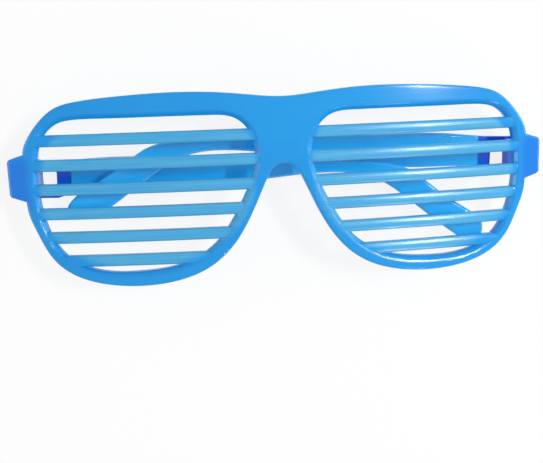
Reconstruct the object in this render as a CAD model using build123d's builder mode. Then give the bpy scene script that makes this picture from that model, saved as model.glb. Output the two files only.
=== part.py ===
from build123d import *
from math import asin, cos, degrees, radians, sin, sqrt
import os

# Slatted novelty glasses, in millimetres and degrees. They lie face up on their folded temples:
# X runs along the brow towards the wearer's left, Y towards the brow, Z out of the front.
# The origin is on the table under the middle of the front.

# Front moulding, seen from the front
rim_half_width = 69.5
half_height = 25.95
brow_rim = 6.25
cheek_rim = 3.85
side_rim = 3.1
half_bridge = 7.8
nose_foot_x = 4.9
nose_foot_y = 2.0
nose_crown_y = 6.25
end_piece_length = 4.4
end_piece_height = 12.7
end_piece_y = 4.45
end_piece_taper = 1.4
end_piece_corner = 1.2

# Front moulding, in depth
end_face_height = 10.784
bow_radius = 404.0
rim_thickness = 3.0
rim_edge_softness = 0.5
eye_bevel = 1.2

# Slats
slat_count = 6
slat_height = 3.1
top_gap = 3.92
bottom_gap = 1.93
slat_thickness = 2.0
slat_crown = 0.35
slat_inset = 0.1
slat_root = 2.1

# Hinge
hinge_inset = 5.6
hinge_drop = 1.35
hinge_lean = 2.2
hinge_play = 0.6
pin_radius = 0.8
pin_clearance = 0.1
pin_recess = 0.3
tongue_wall = 0.6
tongue_height = 4.1
tongue_inner_length = 3.1
tongue_outer_length = 2.3
table_clearance = 0.1
lug_inset = 0.5
lug_width = 7.6
lug_margin = 1.85
lug_corner = 0.8
stop_gap = 0.15

# Temple, seen from its side, with distances along it from the hinge axis
ear_clearance = 9.6
shaft_height = 9.6
tip_top = -12.6
tip_foot = -16.1
tip_corner = 1.6
fork_ear_top = 2.85
fork_ear_foot = 1.8
fork_clearance = 0.2
fork_length = 6.0
slot_depth = 5.8
slot_corner = 0.6
butt_length = 2.6

# Temple, seen from its edge
root_thickness = 3.2
fork_thickness = 2.4
middle_thickness = 2.45
tip_thickness = 2.2
bend_start = 12.0
bend_radius = 40.0
butt_flat = 1.2
butt_slope = 1.0
bevel_tilt = 20
pad_start = 9.8
pad_corner = 1.4
inward_rise = 7.4
inner_bevel = 0.6
outer_bevel = 0.4

# Every cutter runs past what it cuts by this much
overrun = 3.0

# Outlines, as shares of the sizes that they follow
brow_handle_shares = [
    (0.0, 0.923), (0.251, 0.923), (0.347, 1.297), (1.125, 0.587), (0.663, 1.249), (1.0, 0.748),
]
cheek_handle_shares = [
    (1.0, -0.605), (0.82, -0.142), (1.173, -1.916), (0.424, -0.338), (0.314, -1.731), (0.165, -0.431),
]
eye_shares = [
    (-0.3, 1.0), (0.0, 1.0), (0.3, 1.0), (0.6, 0.998), (0.78, 0.95), (0.92, 0.77), (0.99, 0.36),
    (0.948, -0.3), (0.776, -0.762), (0.469, -0.972), (0.09, -1.0), (-0.297, -0.915), (-0.6, -0.67),
    (-0.852, -0.155), (-1.0, 0.42), (-0.945, 0.8), (-0.82, 0.955), (-0.6, 0.998),
]
crown_shares = [(-1.0, -1.0), (-0.72, -0.5), (-0.3, 0.0), (0.3, 0.0), (0.72, -0.5), (1.0, -1.0)]
temple_top_shares = [
    (0.079, 0.615), (0.173, 0.705), (0.315, 0.664), (0.488, 0.646), (0.64, 0.585), (0.76, 0.54),
    (0.823, 0.37), (0.882, -0.15), (0.945, -0.71), (0.978, -0.98),
]
temple_foot_shares = [
    (0.945, -1.68), (0.89, -1.17), (0.819, -0.46), (0.764, 0.0), (0.708, 0.215), (0.646, 0.25),
    (0.575, 0.175), (0.488, 0.03), (0.394, -0.105), (0.299, -0.27), (0.203, -0.318), (0.111, -0.31),
]
pad_top_share = 0.6146
pad_foot_share = -0.3229
middle_share = 0.4


def scaled(shares, width, height, centre_x=0, centre_y=0):
    """Points at the given shares of a width and a height about a centre."""
    return [(centre_x + width * across, centre_y + height * up) for across, up in shares]


# Places on the front, seen from the front
end_piece_reach = rim_half_width + end_piece_length
end_piece_top = end_piece_y + end_piece_height / 2
end_piece_bottom = end_piece_y - end_piece_height / 2
eye_half_width = (rim_half_width - side_rim - half_bridge) / 2
eye_half_height = half_height - (brow_rim + cheek_rim) / 2
eye_centre_x = half_bridge + eye_half_width
eye_centre_y = (cheek_rim - brow_rim) / 2
slat_span = 2 * eye_half_height - top_gap - bottom_gap
slat_pitch = (slat_span - slat_height) / (slat_count - 1)
lowest_slat_y = eye_centre_y - eye_half_height + bottom_gap + slat_height / 2

# The front is bowed about an upright line far behind it, and its end pieces keep their height
bow_centre_z = end_face_height - sqrt(bow_radius ** 2 - end_piece_reach ** 2)
bow_axis = Axis((0, 0, bow_centre_z), (0, 1, 0))
apex_height = bow_centre_z + bow_radius
front_sweep = degrees(asin(end_piece_reach / bow_radius))

# The hinge stands in the end piece, and the temple's fork and reach follow it
bore_radius = pin_radius + pin_clearance
tongue_radius = bore_radius + tongue_wall
hinge_x = end_piece_reach - hinge_inset
hinge_y = end_piece_y - hinge_drop
hinge_lift = tongue_radius + table_clearance
lug_back_z = hinge_lift + butt_length + stop_gap
lug_x = end_piece_reach - lug_inset - lug_width / 2
lug_height = end_piece_height - 2 * lug_margin
fork_gap = tongue_height + 2 * (hinge_play + fork_clearance)
fork_top = fork_gap / 2 + fork_ear_top
fork_foot = -fork_gap / 2 - fork_ear_foot
temple_reach = 2 * hinge_x - ear_clearance
pad_top = shaft_height * pad_top_share
pad_foot = shaft_height * pad_foot_share


# Seen from the front: the outline with its end pieces, and the two eye openings
with BuildSketch() as front_outline:
    with BuildLine():
        brow = Bezier(
            *scaled(brow_handle_shares, rim_half_width, half_height), (rim_half_width, end_piece_top),
        )
        Polyline(
            brow @ 1, (end_piece_reach, end_piece_top - end_piece_taper),
            (end_piece_reach, end_piece_bottom + end_piece_taper), (rim_half_width, end_piece_bottom),
        )
        cheek = Bezier(
            (rim_half_width, end_piece_bottom), *scaled(cheek_handle_shares, rim_half_width, half_height),
            (nose_foot_x, nose_foot_y),
        )
        Spline(cheek @ 1, (0, nose_crown_y), tangents=[cheek % 1, (-1, 0)])
        Line((0, nose_crown_y), brow @ 0)
    make_face()
    fillet(front_outline.vertices().group_by(Axis.X)[-1], end_piece_corner)
    mirror(about=Plane.YZ)

with BuildSketch() as eye_outlines:
    with BuildLine():
        eye_points = scaled(eye_shares, eye_half_width, eye_half_height, eye_centre_x, eye_centre_y)
        Spline(*eye_points, periodic=True)
    make_face()
    mirror(about=Plane.YZ)

# The slats are crowned strips that follow the bow and run over the bevel into the rim
with BuildPart() as slats:
    with BuildSketch(Plane.YZ) as slat_section:
        for row in range(slat_count):
            slat_y = lowest_slat_y + row * slat_pitch
            foot_z = apex_height - slat_thickness
            crown = scaled(crown_shares, slat_height / 2, slat_crown, slat_y, apex_height - slat_inset)
            with BuildLine():
                Polyline(*crown, (slat_y + slat_height / 2, foot_z), (slat_y - slat_height / 2, foot_z), close=True)
            make_face()
    revolve(axis=bow_axis, revolution_arc=front_sweep)
    mirror(about=Plane.YZ)
    with BuildSketch() as slat_bounds:
        with BuildLine():
            bound_points = scaled(
                eye_shares, eye_half_width + slat_root, eye_half_height + slat_root, eye_centre_x, eye_centre_y
            )
            Spline(*bound_points, periodic=True)
        make_face()
        mirror(about=Plane.YZ)
    extrude(amount=apex_height, mode=Mode.INTERSECT)


# A lug wraps back from each end piece and carries the tongue that the temple's fork straddles
with BuildPart() as hinge_lugs:
    with BuildSketch(Plane.XY.offset(lug_back_z)) as lug_outline:
        with Locations((lug_x, end_piece_y)):
            RectangleRounded(lug_width, lug_height, lug_corner)
    extrude(amount=apex_height)
    with BuildSketch(Plane.XZ.offset(-end_piece_y - lug_height)) as lug_bounds:
        with Locations((0, bow_centre_z)):
            Circle(bow_radius - rim_thickness / 2)
    extrude(amount=2 * lug_height, mode=Mode.INTERSECT)
    with BuildSketch(Plane.XZ.offset(-hinge_y)) as tongue_outline:
        with Locations((hinge_x, hinge_lift)):
            Circle(tongue_radius)
        with Locations((hinge_x + (tongue_outer_length - tongue_inner_length) / 2, lug_back_z + overrun / 2)):
            Rectangle(tongue_inner_length + tongue_outer_length, overrun)
        make_hull()
        with Locations((hinge_x, hinge_lift)):
            Circle(bore_radius, mode=Mode.SUBTRACT)
    extrude(amount=tongue_height / 2, both=True)
    mirror(about=Plane.YZ)

# The front: one plate with bevelled openings, its slats and its lugs
with BuildPart() as front_frame:
    add(front_outline.sketch)
    extrude(amount=apex_height)
    with BuildSketch(Plane.XZ) as bow_band:
        with Locations((0, bow_centre_z)):
            Circle(bow_radius)
            Circle(bow_radius - rim_thickness, mode=Mode.SUBTRACT)
    extrude(amount=half_height + overrun, both=True, mode=Mode.INTERSECT)
    bow_face = front_frame.faces().filter_by(GeomType.CYLINDER).sort_by(Axis.Z)[-1]
    fillet(bow_face.outer_wire().edges(), rim_edge_softness)
    add(hinge_lugs.part)
    add(eye_outlines.sketch)
    extrude(amount=apex_height, mode=Mode.SUBTRACT)
    bow_face = front_frame.faces().filter_by(GeomType.CYLINDER).sort_by(Axis.Z)[-1]
    chamfer(bow_face.inner_wires().edges(), eye_bevel)
    add(slats.part)
front_frame.part.label = "front_frame"


def outer_height(distance):
    """Height of a folded temple's outer face above its hinge axis, past the bend."""
    return inward_rise * (distance - bend_start) / (temple_reach - bend_start) - hinge_lift


def hinge_plane(side):
    """Plane of a folded temple's side view: its origin and Y axis are those of the hinge."""
    return Plane(
        origin=(side * hinge_x, hinge_y + side * hinge_play, hinge_lift),
        x_dir=(cos(radians(hinge_lean)), -sin(radians(hinge_lean)), 0),
        z_dir=(0, 0, 1),
    )


def edge_plane(side):
    """Plane of a folded temple's edge view, square to its hinge axis."""
    plane = hinge_plane(side)
    return Plane(origin=plane.origin, x_dir=plane.x_dir, z_dir=-plane.y_dir)


def make_temple(side):
    """A temple with its slotted fork, shaft and bent ear piece, folded behind the front."""
    tip = -side * temple_reach
    fork_end = -side * fork_length
    butt = side * butt_length
    beyond = side * (butt_length + overrun)
    far = temple_reach + overrun
    middle = temple_reach * middle_share
    inner_w = root_thickness - hinge_lift
    top = scaled(temple_top_shares, tip, shaft_height)
    foot = scaled(temple_foot_shares, tip, shaft_height)
    with BuildPart() as temple:
        with BuildSketch(hinge_plane(side).offset(-overrun)) as side_outline:
            with BuildLine():
                Polyline((beyond, fork_foot), (beyond, fork_top), (fork_end, fork_top))
                Spline((fork_end, fork_top), *top, (tip, tip_top), tangents=[(-side, 0), (-side, -2)])
                Polyline((tip, tip_top), (tip, tip_foot), foot[0])
                Spline(*foot, (fork_end, fork_foot))
                Line((fork_end, fork_foot), (beyond, fork_foot))
            make_face()
            ear_end = side_outline.vertices().sort_by(Axis((0, 0, 0), (-side, 0, 0)))[-2:]
            fillet(ear_end, tip_corner)
        extrude(amount=apex_height)
        with BuildSketch(edge_plane(side).offset(-half_height)) as edge_outline:
            with BuildLine():
                Polyline(
                    (butt, -hinge_lift), (-side * bend_start, -hinge_lift),
                    (-side * far, outer_height(far)), (-side * far, outer_height(far) + tip_thickness),
                    (-side * middle, outer_height(middle) + middle_thickness),
                    (-side * bend_start, inner_w), (side * butt_slope, inner_w),
                    (butt, butt_flat - hinge_lift), (butt, -hinge_lift),
                )
            make_face()
            bends = [vertex for vertex in edge_outline.vertices() if butt_length < abs(vertex.X) < temple_reach]
            fillet(bends, bend_radius)
        extrude(amount=2 * half_height, mode=Mode.INTERSECT)

        # The bevels along the inner and the outer face leave out the seams between their flats
        inner_faces = temple.faces().filter_by(lambda face: face.normal_at().Z > cos(radians(bevel_tilt)))
        inner_edges = inner_faces.edges()
        chamfer([edge for edge in inner_edges if inner_edges.count(edge) == 1], inner_bevel)
        outer_faces = temple.faces().filter_by(lambda face: face.normal_at().Z < -cos(radians(bevel_tilt)))
        outer_edges = outer_faces.edges()
        chamfer([edge for edge in outer_edges if outer_edges.count(edge) == 1], outer_bevel)

        # The fork's plate is thinner than the shaft, which begins in a pad with round corners
        with BuildSketch(hinge_plane(side).offset(fork_thickness - hinge_lift)) as fork_relief:
            with Locations((side * (butt_length + overrun - pad_start - pad_corner) / 2, 0)):
                Rectangle(butt_length + overrun + pad_start + pad_corner, 2 * half_height)
            with Locations((-side * (pad_start + pad_corner * 2), (pad_top + pad_foot) / 2)):
                RectangleRounded(pad_corner * 4, pad_top - pad_foot, pad_corner, mode=Mode.SUBTRACT)
        extrude(amount=apex_height, mode=Mode.SUBTRACT)
        with BuildSketch(edge_plane(side).offset(-fork_top)) as knuckle:
            Circle(hinge_lift)
        extrude(amount=fork_top - fork_foot)
        with BuildSketch(hinge_plane(side).offset(-overrun)) as slot:
            with Locations((side * (butt_length + overrun - slot_depth) / 2, 0)):
                Rectangle(butt_length + overrun + slot_depth, fork_gap)
            slot_base = slot.vertices().sort_by(Axis((0, 0, 0), (-side, 0, 0)))[-2:]
            fillet(slot_base, slot_corner)
        extrude(amount=apex_height, mode=Mode.SUBTRACT)
        with BuildSketch(edge_plane(side).offset(-fork_top)) as pin_bore:
            Circle(pin_radius)
        extrude(amount=fork_top - fork_foot, mode=Mode.SUBTRACT)
    return temple


def make_hinge_pin(side):
    """The plain pin that both ears of a fork grip, a little short of their outer faces."""
    with BuildPart() as pin:
        with BuildSketch(edge_plane(side).offset(pin_recess - fork_top)) as pin_section:
            Circle(pin_radius)
        extrude(amount=fork_top - fork_foot - 2 * pin_recess)
    return pin


pieces = [front_frame]
for side, name in ((1, "left"), (-1, "right")):
    temple = make_temple(side)
    temple.part.label = name + "_temple"
    hinge_pin = make_hinge_pin(side)
    hinge_pin.part.label = name + "_hinge_pin"
    pieces += [temple, hinge_pin]

os.makedirs("parts", exist_ok=True)
for piece in pieces:
    export_step(piece.part, "parts/" + piece.part.label + ".step")
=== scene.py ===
"""Slatted novelty glasses: finishes, floor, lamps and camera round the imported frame."""

import logging
import math
from dataclasses import dataclass
from enum import Enum
from typing import Any

import bpy
from mathutils import Matrix, Vector


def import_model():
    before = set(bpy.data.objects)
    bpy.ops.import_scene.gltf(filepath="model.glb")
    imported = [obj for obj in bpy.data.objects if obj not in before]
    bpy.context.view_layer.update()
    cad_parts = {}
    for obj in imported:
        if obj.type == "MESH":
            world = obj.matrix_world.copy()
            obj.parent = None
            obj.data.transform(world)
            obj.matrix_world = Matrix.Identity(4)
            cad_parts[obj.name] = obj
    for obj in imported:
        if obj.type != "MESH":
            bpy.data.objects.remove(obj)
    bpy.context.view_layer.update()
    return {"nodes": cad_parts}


log = logging.getLogger("slatted_glasses")

Colour = tuple[float, float, float, float]
Triple = tuple[float, float, float]
Pair = tuple[float, float]

MM = 0.001
WHITE: Colour = (1.0, 1.0, 1.0, 1.0)

# The sRGB curve over its steps: a straight foot, then a power
SRGB_STEPS = 255
SRGB_FOOT_END, SRGB_FOOT_SLOPE = 0.04045, 12.92
SRGB_OFFSET, SRGB_POWER = 0.055, 2.4

# A Mix node keeps a set of sockets for each kind of data: these are the ones for colours
MIX_SHARE, MIX_FIRST, MIX_SECOND, MIX_RESULT = 0, 6, 7, 2


class Side(Enum):
    """Which side of the wearer a temple is on."""

    LEFT = "left"
    RIGHT = "right"


class Detail(Enum):
    """How many finer layers a noise adds."""

    SMOOTH = 1.0
    PLAIN = 2.0
    FINE = 3.0


class Ray(Enum):
    """The rays that the floor and the world tell apart."""

    CAMERA = "Is Camera Ray"
    GLOSSY = "Is Glossy Ray"
    TRANSMISSION = "Is Transmission Ray"
    SHADOW = "Is Shadow Ray"


def linear(red: int, green: int, blue: int) -> Colour:
    """Turn a colour written as sRGB steps from 0 to 255 into the linear values of a shader.

    Args:
        red: Red step.
        green: Green step.
        blue: Blue step.

    Returns:
        The linear colour with a full alpha.
    """

    def channel(step: int) -> float:
        """Return one channel's linear value.

        Args:
            step: The channel's step.

        Returns:
            Its linear value.
        """
        share = step / SRGB_STEPS
        if share <= SRGB_FOOT_END:
            return share / SRGB_FOOT_SLOPE
        return ((share + SRGB_OFFSET) / (1 + SRGB_OFFSET)) ** SRGB_POWER

    return (channel(red), channel(green), channel(blue), 1.0)


class Bench:
    """Makes the nodes of one material or world."""

    def __init__(self, owner: bpy.types.ID) -> None:
        """Start with no nodes.

        Args:
            owner: The material or world that holds the nodes.
        """
        owner.use_nodes = True
        self.tree = owner.node_tree
        self.tree.nodes.clear()

    def node(
        self,
        kind: str,
        settings: dict[str, Any] | None = None,
        values: dict[str | int, Any] | None = None,
    ) -> bpy.types.Node:
        """Make one node.

        Args:
            kind: The node's type.
            settings: The node's own settings, set before its sockets.
            values: The value, field or socket for each input, by name or number.

        Returns:
            The new node.
        """
        made = self.tree.nodes.new(kind)
        for key, value in (settings or {}).items():
            setattr(made, key, value)
        for key, value in (values or {}).items():
            source = value.socket if isinstance(value, Field) else value
            if isinstance(source, bpy.types.NodeSocket):
                self.tree.links.new(source, made.inputs[key])
            else:
                made.inputs[key].default_value = source
        return made

    def place(self) -> "Field":
        """Return the Object coordinates, in metres."""
        return Field(self, self.node("ShaderNodeTexCoord").outputs["Object"])

    def ray(self, kind: Ray) -> "Field":
        """Return 1 for rays of a kind and 0 for others."""
        return Field(self, self.node("ShaderNodeLightPath").outputs[kind.value])

    def noise(self, where: "Field", waves: Triple, detail: Detail) -> "Field":
        """Return a smooth random field from 0 to 1.

        Args:
            where: The coordinates to read.
            waves: Waves per metre along each axis.
            detail: How many finer layers are added.

        Returns:
            The field.
        """
        mapped = self.node("ShaderNodeMapping", None, {"Vector": where, "Scale": waves})
        noise = self.node(
            "ShaderNodeTexNoise",
            None,
            {"Vector": mapped.outputs["Vector"], "Scale": 1.0, "Detail": detail.value},
        )
        return Field(self, noise.outputs["Fac"])

    def blend(self, share: "Field", first: "Field | Colour", second: Colour) -> "Field":
        """Mix two colours.

        Args:
            share: How much of the second colour there is.
            first: A colour, or a field of colour.
            second: The colour that is mixed in.

        Returns:
            The mixed colour.
        """
        colours = {MIX_SHARE: share, MIX_FIRST: first, MIX_SECOND: second}
        mixed = self.node("ShaderNodeMix", {"data_type": "RGBA"}, colours)
        return Field(self, mixed.outputs[MIX_RESULT])

    def layer(
        self, share: "Field", first: bpy.types.NodeSocket, second: bpy.types.NodeSocket
    ) -> bpy.types.NodeSocket:
        """Return the first shader with a share of the second over it."""
        return self.node("ShaderNodeMixShader", None, {0: share, 1: first, 2: second}).outputs[0]


class Field:
    """A number or colour that varies over a surface, with arithmetic that adds its own nodes."""

    def __init__(self, bench: Bench, socket: bpy.types.NodeSocket) -> None:
        """Wrap an output socket of a bench's node."""
        self.bench = bench
        self.socket = socket

    def _math(self, operation: str, first: Any, second: Any = 0.0) -> "Field":
        """Return one Math node's result."""
        made = self.bench.node("ShaderNodeMath", {"operation": operation}, {0: first, 1: second})
        return Field(self.bench, made.outputs[0])

    def __add__(self, other: Any) -> "Field":
        """Add."""
        return self._math("ADD", self, other)

    def __radd__(self, other: Any) -> "Field":
        """Add this to another."""
        return self._math("ADD", other, self)

    def __sub__(self, other: Any) -> "Field":
        """Subtract."""
        return self._math("SUBTRACT", self, other)

    def __rsub__(self, other: Any) -> "Field":
        """Subtract this from another."""
        return self._math("SUBTRACT", other, self)

    def __mul__(self, other: Any) -> "Field":
        """Multiply."""
        return self._math("MULTIPLY", self, other)

    def __rmul__(self, other: Any) -> "Field":
        """Multiply another by this."""
        return self._math("MULTIPLY", other, self)

    def __truediv__(self, other: Any) -> "Field":
        """Divide."""
        return self._math("DIVIDE", self, other)

    def __rtruediv__(self, other: Any) -> "Field":
        """Divide another by this."""
        return self._math("DIVIDE", other, self)

    def __abs__(self) -> "Field":
        """Drop the sign."""
        return self._math("ABSOLUTE", self)

    def axes(self) -> tuple["Field", "Field", "Field"]:
        """Return a vector's three parts."""
        parts = self.bench.node("ShaderNodeSeparateXYZ", None, {0: self}).outputs
        return tuple(Field(self.bench, part) for part in parts)

    def smooth(self, start: float, end: float) -> "Field":
        """Return 0 below start, 1 above end and a smooth step between.

        Args:
            start: Where the step begins.
            end: Where the step ends.

        Returns:
            The step.
        """
        made = self.bench.node(
            "ShaderNodeMapRange",
            {"interpolation_type": "SMOOTHSTEP"},
            {"Value": self, "From Min": start, "From Max": end},
        )
        return Field(self.bench, made.outputs["Result"])


@dataclass(frozen=True, kw_only=True)
class GlossPlastic:
    """Glossy moulded plastic, softly clouded, with painted shade darkening it by the hinges.

    Waves are per metre along X, Y and Z, and lengths are in metres. A step, and a pair named
    for a place, such as the one for the painted shade along x, is where a smooth change begins
    and ends.
    """

    name: str
    body: Colour
    cloud: Colour
    cloud_waves: Triple = (30.0, 55.0, 40.0)
    cloud_step: Pair = (0.35, 0.65)
    cloud_share: float = 0.6
    streak: Colour
    streak_waves: Triple = (14.0, 1300.0, 500.0)
    streak_step: Pair = (0.45, 0.75)
    streak_share: float = 0.1
    # Painted shade: a darker colour laid on the hinge forks, where the front shades them
    painted_shade: Colour
    painted_shade_share: float = 0.9
    shade_beyond_x: Pair = (0.0580, 0.0594)
    shade_above_y: Pair = (-0.0120, -0.0080)
    roughness: float = 0.13
    grain_waves: Triple = (20.0, 900.0, 400.0)
    grain_strength: float = 0.3
    grain_gloss: float = 0.2
    grain_height: float = 0.5
    ripple_waves: Triple = (60.0, 160.0, 160.0)
    bump_depth: float = 0.00003
    bump_strength: float = 0.3
    edge_round: float = 0.0003
    edge_samples: int = 6
    refraction: float = 1.59

    def shade_mask(self, where: Field) -> Field:
        """Return 1 for painted shade on the fork beside the hinge, and 0 along the shaft and ear
        piece.
        """
        x, y, _ = where.axes()
        return abs(x).smooth(*self.shade_beyond_x) * y.smooth(*self.shade_above_y)

    def grain(self, where: Field) -> Field | float:
        """Return how strongly the flow lines show, from 0 to 1."""
        return self.grain_strength

    def colour(self, bench: Bench, where: Field) -> Field:
        """Return the plastic's colour over the surface.

        Args:
            bench: The material's bench.
            where: Object coordinates.

        Returns:
            The colour.
        """
        clouds = bench.noise(where, self.cloud_waves, Detail.PLAIN).smooth(*self.cloud_step)
        streaks = bench.noise(where, self.streak_waves, Detail.FINE).smooth(*self.streak_step)
        clouded = bench.blend(clouds * self.cloud_share, self.body, self.cloud)
        streaked = bench.blend(
            streaks * self.grain(where) * self.streak_share, clouded, self.streak
        )
        # Painted shade: the darker colour darkens the hinge end, where the front shades it
        return bench.blend(self.shade_mask(where) * self.painted_shade_share, streaked, self.painted_shade)

    def build(self) -> bpy.types.Material:
        """Make the material.

        Returns:
            The finished material.
        """
        material = bpy.data.materials.new(self.name)
        bench = Bench(material)
        where = bench.place()
        grain = bench.noise(where, self.grain_waves, Detail.PLAIN) * self.grain(where)
        ripples = bench.noise(where, self.ripple_waves, Detail.SMOOTH)
        rounded = bench.node(
            "ShaderNodeBevel", {"samples": self.edge_samples}, {"Radius": self.edge_round}
        )
        bump = bench.node(
            "ShaderNodeBump",
            None,
            {
                "Height": grain * self.grain_height + ripples,
                "Strength": self.bump_strength,
                "Distance": self.bump_depth,
                "Normal": rounded.outputs["Normal"],
            },
        )
        shader = bench.node(
            "ShaderNodeBsdfPrincipled",
            None,
            {
                "Base Color": self.colour(bench, where),
                "Roughness": grain * self.grain_gloss + self.roughness,
                "Normal": bump.outputs["Normal"],
                "IOR": self.refraction,
            },
        )
        bench.node("ShaderNodeOutputMaterial", None, {"Surface": shader.outputs["BSDF"]})
        return material


@dataclass(frozen=True, kw_only=True)
class SlatPlastic(GlossPlastic):
    """The front's plastic, with painted light that makes the thin slats paler across the eye
    openings.

    The openings are told apart as ellipses that lean outwards at the foot and are squared off
    towards the brow, with eye_turn between the two, as shares of the half height. Places are
    those of the left opening, and the right one mirrors it.
    """

    # Painted light: a paler colour on the slats stands in for light through the thin plastic
    slat_glow: Colour
    slat_waves: Triple = (25.0, 2200.0, 500.0)
    slat_step: Pair = (0.3, 0.7)
    slat_glow_share: float = 0.85
    slat_glow_least: float = 0.55
    eye_centre: Pair = (0.0371, -0.0012)
    eye_half_size: Pair = (0.0293, 0.0209)
    eye_lean: float = 0.12
    eye_edge: Pair = (0.80, 1.04)
    eye_turn: Pair = (-0.25, 0.25)
    # Where the painted shade lies on the lugs and the end pieces
    lug_below_z: Pair = (0.0064, 0.0076)
    end_beyond_x: Pair = (0.0665, 0.0700)
    end_centre_y: float = 0.0031
    end_half_y: Pair = (0.0045, 0.0095)
    end_shade_share: float = 0.45

    def shade_mask(self, where: Field) -> Field:
        """Return 1 for painted shade on the lugs, less on the end pieces that carry them, and 0
        elsewhere.

        Args:
            where: Object coordinates.

        Returns:
            The share of the painted shade colour.
        """
        x, y, z = where.axes()
        # Painted shade on the lugs and, weaker, on the end pieces that carry them
        lug = abs(x).smooth(*self.shade_beyond_x) * (1.0 - z.smooth(*self.lug_below_z))
        beside = 1.0 - abs(y - self.end_centre_y).smooth(*self.end_half_y)
        end_piece = abs(x).smooth(*self.end_beyond_x) * beside * z.smooth(*self.lug_below_z)
        return lug + end_piece * self.end_shade_share

    def inside(self, where: Field) -> Field:
        """Return 1 within the eye openings, where only slats are, and 0 on the rim.

        Args:
            where: Object coordinates.

        Returns:
            The share of the slats.
        """
        x, y, _ = where.axes()
        rise = y - self.eye_centre[1]
        across = (abs(x) + rise * self.eye_lean - self.eye_centre[0]) / self.eye_half_size[0]
        up = rise / self.eye_half_size[1]
        wide, high = across * across, up * up
        round_foot = 1.0 - (wide + high).smooth(*self.eye_edge)
        square_top = 1.0 - (wide * wide + high * high).smooth(*self.eye_edge)
        top = up.smooth(*self.eye_turn)
        return round_foot * (1.0 - top) + square_top * top

    def grain(self, where: Field) -> Field:
        """Return how strongly the flow lines show: full on the slats, faint on the rim."""
        return self.inside(where) * (1.0 - self.grain_strength) + self.grain_strength

    def colour(self, bench: Bench, where: Field) -> Field:
        """Return the colour of rim and slats over the surface.

        Args:
            bench: The material's bench.
            where: Object coordinates.

        Returns:
            The colour.
        """
        plain = super().colour(bench, where)
        # Painted light: the slats are paled, in flowing streaks, to stand in for light through
        # the thin plastic
        flow = bench.noise(where, self.slat_waves, Detail.FINE).smooth(*self.slat_step)
        pale = self.slat_glow_least + flow * (1.0 - self.slat_glow_least)
        return bench.blend(self.inside(where) * pale * self.slat_glow_share, plain, self.slat_glow)


# Its darker colour is painted shade on the lugs and end pieces, and its slat colour painted light
# through the thin slats
FRONT_PLASTIC = SlatPlastic(
    name="front_plastic",
    body=linear(8, 149, 230),
    cloud=linear(26, 161, 237),
    streak=linear(90, 185, 240),
    painted_shade=linear(0, 60, 230),
    slat_glow=linear(90, 184, 224),
    edge_round=0.0010,
)
# A lighter copy of the front's plastic, painted light for the temples lying in the front's shade;
# its darker colour is painted shade on the forks
TEMPLE_PLASTIC = GlossPlastic(
    name="temple_plastic",
    body=linear(40, 186, 250),
    cloud=linear(56, 195, 253),
    streak=linear(96, 208, 254),
    painted_shade=linear(0, 72, 218),
    painted_shade_share=0.85,
)
# Its darker colour is painted shade where the pins sit by the hinges
PIN_PLASTIC = GlossPlastic(
    name="pin_plastic",
    body=linear(10, 120, 215),
    cloud=linear(20, 132, 222),
    streak=linear(60, 160, 235),
    painted_shade=linear(4, 60, 180),
)


@dataclass
class Subassembly:
    """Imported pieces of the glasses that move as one."""

    nodes: dict[str, bpy.types.Object]

    def finish_piece(self, name: str, plastic: bpy.types.Material) -> None:
        """Put a finish on one piece.

        Args:
            name: The piece's node.
            plastic: Its finish.
        """
        for slot in self.nodes[name].material_slots:
            slot.material = plastic
        log.info("%s is dressed in %s", name, plastic.name)


@dataclass
class Front(Subassembly):
    """The front: both rims, the bridge, the slats and the hinge lugs."""

    plastic: bpy.types.Material

    def dress(self) -> None:
        """Put its finish on the front."""
        self.finish_piece("front_frame", self.plastic)


@dataclass
class Temple(Subassembly):
    """One temple and the hinge pin that is pressed into its fork."""

    side: Side
    plastic: bpy.types.Material
    pin_plastic: bpy.types.Material

    def dress(self) -> None:
        """Put their finishes on the temple and its pin."""
        self.finish_piece(f"{self.side.value}_temple", self.plastic)
        self.finish_piece(f"{self.side.value}_hinge_pin", self.pin_plastic)


@dataclass(frozen=True)
class Lamp:
    """A rectangular lamp that faces the glasses.

    Lengths are in metres, and its side called along runs nearest the world's Y. At a level of
    1 the lamp alone would show a white floor as white.
    """

    name: str
    direction: Triple
    distance: float
    across: float
    along: float
    level: float

    def hang(self, target: Vector) -> None:
        """Hang the lamp and turn it to the target.

        Args:
            target: The point that the lamp faces.
        """
        towards = Vector(self.direction).normalized()
        light = bpy.data.lights.new(self.name, "AREA")
        light.shape = "RECTANGLE"
        light.size = self.across
        light.size_y = self.along
        light.energy = self.level * math.pi**2 * self.distance**2 / towards.z
        side = Vector((0.0, 1.0, 0.0)).cross(towards).normalized()
        turn = Matrix((side, towards.cross(side), towards)).transposed()
        lamp = bpy.data.objects.new(self.name, light)
        lamp.matrix_world = Matrix.Translation(target + towards * self.distance) @ turn.to_4x4()
        bpy.context.scene.collection.objects.link(lamp)
        log.info("%s hangs %.2f m away", self.name, self.distance)


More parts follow.
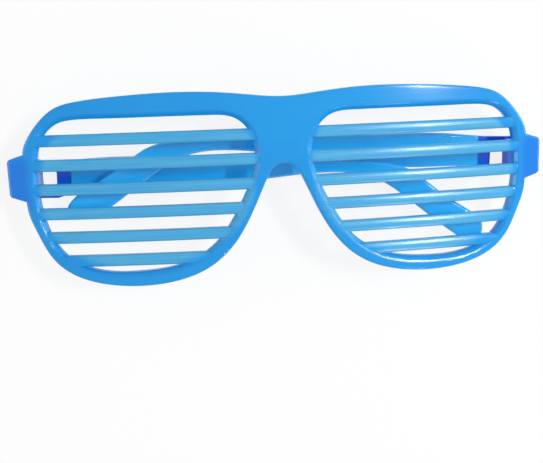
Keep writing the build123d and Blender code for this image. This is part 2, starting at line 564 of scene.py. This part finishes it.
@dataclass
class Studio:
    """The floor, the lamps and the camera.

    The camera's turn is in degrees about X, Y and Z. Its shift is where it sees its base, a point
    over the nose, and both are in millimetres, as the sensor is. Other lengths are in metres.
    """

    floor_side: float = 6.0
    floor_colour: Colour = (0.97, 0.97, 0.97, 1.0)
    clear_share: float = 0.85
    mirror_share: float = 0.4
    world_level: float = 0.44
    lamp_target: Triple = (0.0, 0.002, 0.010)
    lamps: tuple[Lamp, ...] = (
        Lamp("window_lamp", (0.52, 0.22, 0.85), 0.60, across=0.025, along=0.18, level=0.38),
        Lamp("low_lamp", (0.42, -0.75, 0.55), 0.60, across=0.06, along=0.06, level=0.05),
        Lamp("side_lamp", (0.95, 0.17, 0.27), 0.70, across=0.07, along=0.45, level=0.07),
        Lamp("left_lamp", (-0.92, 0.00, 0.40), 0.80, across=0.40, along=0.40, level=0.08),
    )
    focal_pixels: float = 800.0
    picture_pixels: int = 543
    sensor_mm: float = 36.0
    nearest_seen: float = 0.01
    camera_turn: Triple = (11.2, 5.33, 3.05)
    camera_shift: Triple = (3.59, 16.58, -214.49)
    camera_base: Triple = (0.0, 4.45, 17.6)

    def lay_floor(self) -> None:
        """Lay the pale floor, which keeps the shadow of the glasses.

        Camera rays pass most of it to the white world behind, and shadow rays all of it, so that
        an opened temple still shows and is lit where it swings below the floor.
        """
        bpy.ops.mesh.primitive_plane_add(size=self.floor_side)
        floor = bpy.context.object
        floor.name = "floor"
        paint = bpy.data.materials.new("pale_floor")
        bench = Bench(paint)
        passed = bench.ray(Ray.CAMERA) * self.clear_share + bench.ray(Ray.SHADOW)
        mirrored = (bench.ray(Ray.GLOSSY) + bench.ray(Ray.TRANSMISSION)) * self.mirror_share
        pale = bench.node("ShaderNodeBsdfDiffuse", None, {"Color": self.floor_colour})
        white = bench.node("ShaderNodeEmission", None, {"Color": WHITE, "Strength": 1.0})
        clear = bench.node("ShaderNodeBsdfTransparent", None, {"Color": WHITE})
        shown = bench.layer(mirrored, pale.outputs["BSDF"], white.outputs["Emission"])
        surface = bench.layer(passed, shown, clear.outputs["BSDF"])
        bench.node("ShaderNodeOutputMaterial", None, {"Surface": surface})
        floor.data.materials.append(paint)

    def light_up(self) -> None:
        """Set the world, which the camera sees as white, and hang the lamps."""
        world = bpy.data.worlds.new("studio")
        bench = Bench(world)
        level = bench.ray(Ray.CAMERA) * (1.0 - self.world_level) + self.world_level
        sky = bench.node("ShaderNodeBackground", None, {"Color": WHITE, "Strength": level})
        bench.node("ShaderNodeOutputWorld", None, {"Surface": sky.outputs["Background"]})
        bpy.context.scene.world = world
        for lamp in self.lamps:
            lamp.hang(Vector(self.lamp_target))

    def aim(self) -> None:
        """Stand the camera where the photograph was taken."""
        lens = bpy.data.cameras.new("camera")
        lens.sensor_width = self.sensor_mm
        lens.lens = self.focal_pixels * self.sensor_mm / self.picture_pixels
        lens.clip_start = self.nearest_seen
        turn = Matrix.Identity(3)
        for angle, axis in zip(self.camera_turn, "XYZ"):
            turn = Matrix.Rotation(math.radians(angle), 3, axis) @ turn
        back = turn.transposed()
        spot = (Vector(self.camera_base) - back @ Vector(self.camera_shift)) * MM
        camera = bpy.data.objects.new("camera", lens)
        camera.matrix_world = Matrix.Translation(spot) @ back.to_4x4()
        bpy.context.scene.collection.objects.link(camera)
        bpy.context.scene.camera = camera

    def build(self) -> None:
        """Build floor, lamps and camera."""
        self.lay_floor()
        self.light_up()
        self.aim()
        bpy.context.scene.view_settings.view_transform = "Standard"


def main() -> None:
    """Dress the glasses and build the studio."""
    logging.basicConfig(level=logging.INFO, format="%(name)s: %(message)s")
    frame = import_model()
    nodes = frame["nodes"]
    Front(nodes, FRONT_PLASTIC.build()).dress()
    temple_plastic, pin_plastic = TEMPLE_PLASTIC.build(), PIN_PLASTIC.build()
    for side in Side:
        Temple(nodes, side, temple_plastic, pin_plastic).dress()
    Studio().build()


if __name__ == "__main__":
    main()
